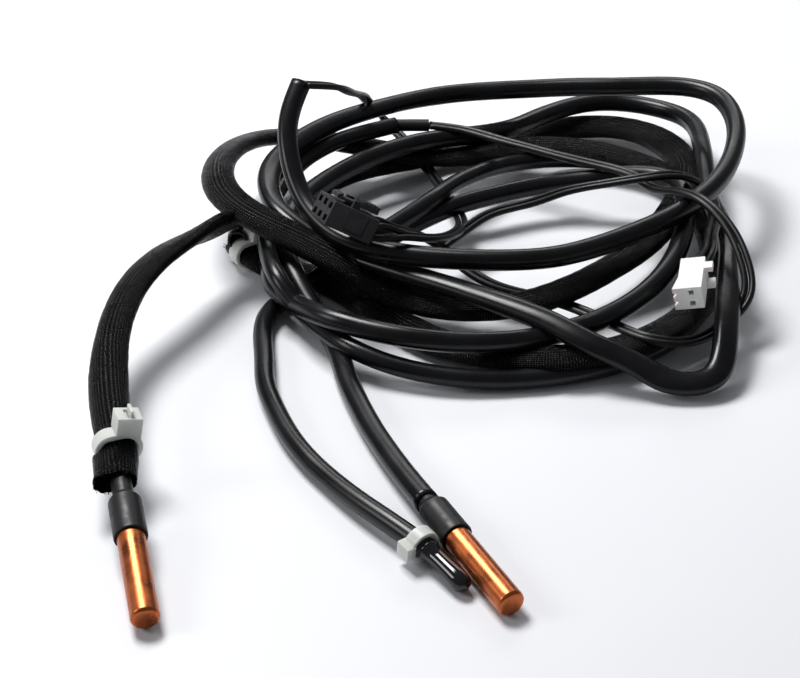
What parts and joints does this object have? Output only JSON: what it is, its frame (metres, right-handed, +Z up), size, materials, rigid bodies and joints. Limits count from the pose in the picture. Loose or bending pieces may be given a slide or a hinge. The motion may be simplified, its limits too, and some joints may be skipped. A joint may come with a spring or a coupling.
{
  "type": "thermistor temperature sensor set",
  "caption": "Temperature sensor harness: copper pipe probes and a dipped air probe on black sleeved leads, loosely coiled, with a latching plug and a small white plug.",
  "frame": {"origin": "on the plane the set lies on, under the middle of the box round the three sensing heads", "axes": "+Z up; +X across the three heads, from the sleeved probe towards the plain one; +Y from the heads towards the coil"},
  "size_m": [0.1495, 0.2023, 0.0377],
  "materials": {
    "copper_shell": "drawn copper, satin with a bright streak along it",
    "potting_resin": "cast resin",
    "thermistor_bead": "glass-coated bead",
    "wire_insulation": "smooth black insulation, semi-gloss",
    "tinned_wire": "tinned copper",
    "shrink_collar": "heat-shrink, satin",
    "woven_sleeve": "varnished glass-fibre weave, sparkling along its ridges",
    "pvc_tubing": "soft vinyl tubing, semi-gloss",
    "coiled_leads": "loosely coiled leads with air between them",
    "dipped_epoxy": "dipped, high gloss",
    "nylon_tie": "natural nylon, milky",
    "black_plug": "fine moulded",
    "white_plug": "smooth moulded nylon",
    "contact_metal": "tin over brass"
  },
  "bodies": {
    "harness": {"probe_shell_a": "copper_shell", "potting_a": "potting_resin", "bead_a": "thermistor_bead", "lead_wires_a": "wire_insulation", "collar_a": "shrink_collar", "sleeve_lead": "woven_sleeve", "tie_strap_a": "nylon_tie", "tie_head_a": "nylon_tie", "tie_pawl_a": "nylon_tie", "probe_shell_b": "copper_shell", "potting_b": "potting_resin", "bead_b": "thermistor_bead", "lead_wires_b": "wire_insulation", "collar_b": "shrink_collar", "tube_lead_b": "pvc_tubing", "dipped_tip_c": "dipped_epoxy", "bead_c": "thermistor_bead", "lead_wires_c": "tinned_wire", "tie_ring_c": "nylon_tie", "tube_lead_c": "pvc_tubing", "coil": "coiled_leads", "tube_loop_b": "pvc_tubing", "tube_tail_c": "pvc_tubing", "splice_shrink": "shrink_collar", "wires_tail_a": "wire_insulation", "wires_tail_b": "wire_insulation", "wires_plug": "wire_insulation", "wires_header": "wire_insulation", "plug_housing": "black_plug", "plug_contacts": "contact_metal", "plug_wire_stubs": "wire_insulation", "header_housing": "white_plug", "header_contacts": "contact_metal", "tie_strap_d": "nylon_tie", "tie_head_d": "nylon_tie"},
    "latch": {"plug_latch": "black_plug"}
  },
  "joints": [
    {"name": "latch_squeeze", "type": "hinge", "parent": "harness", "child": "latch", "pos_m": [0.00522, 0.08922, 0.02527], "axis": [0.3689, -0.9131, 0.1736], "range_deg": [-5, 0], "stiffness_Nm_per_rad": 0.29}
  ]
}
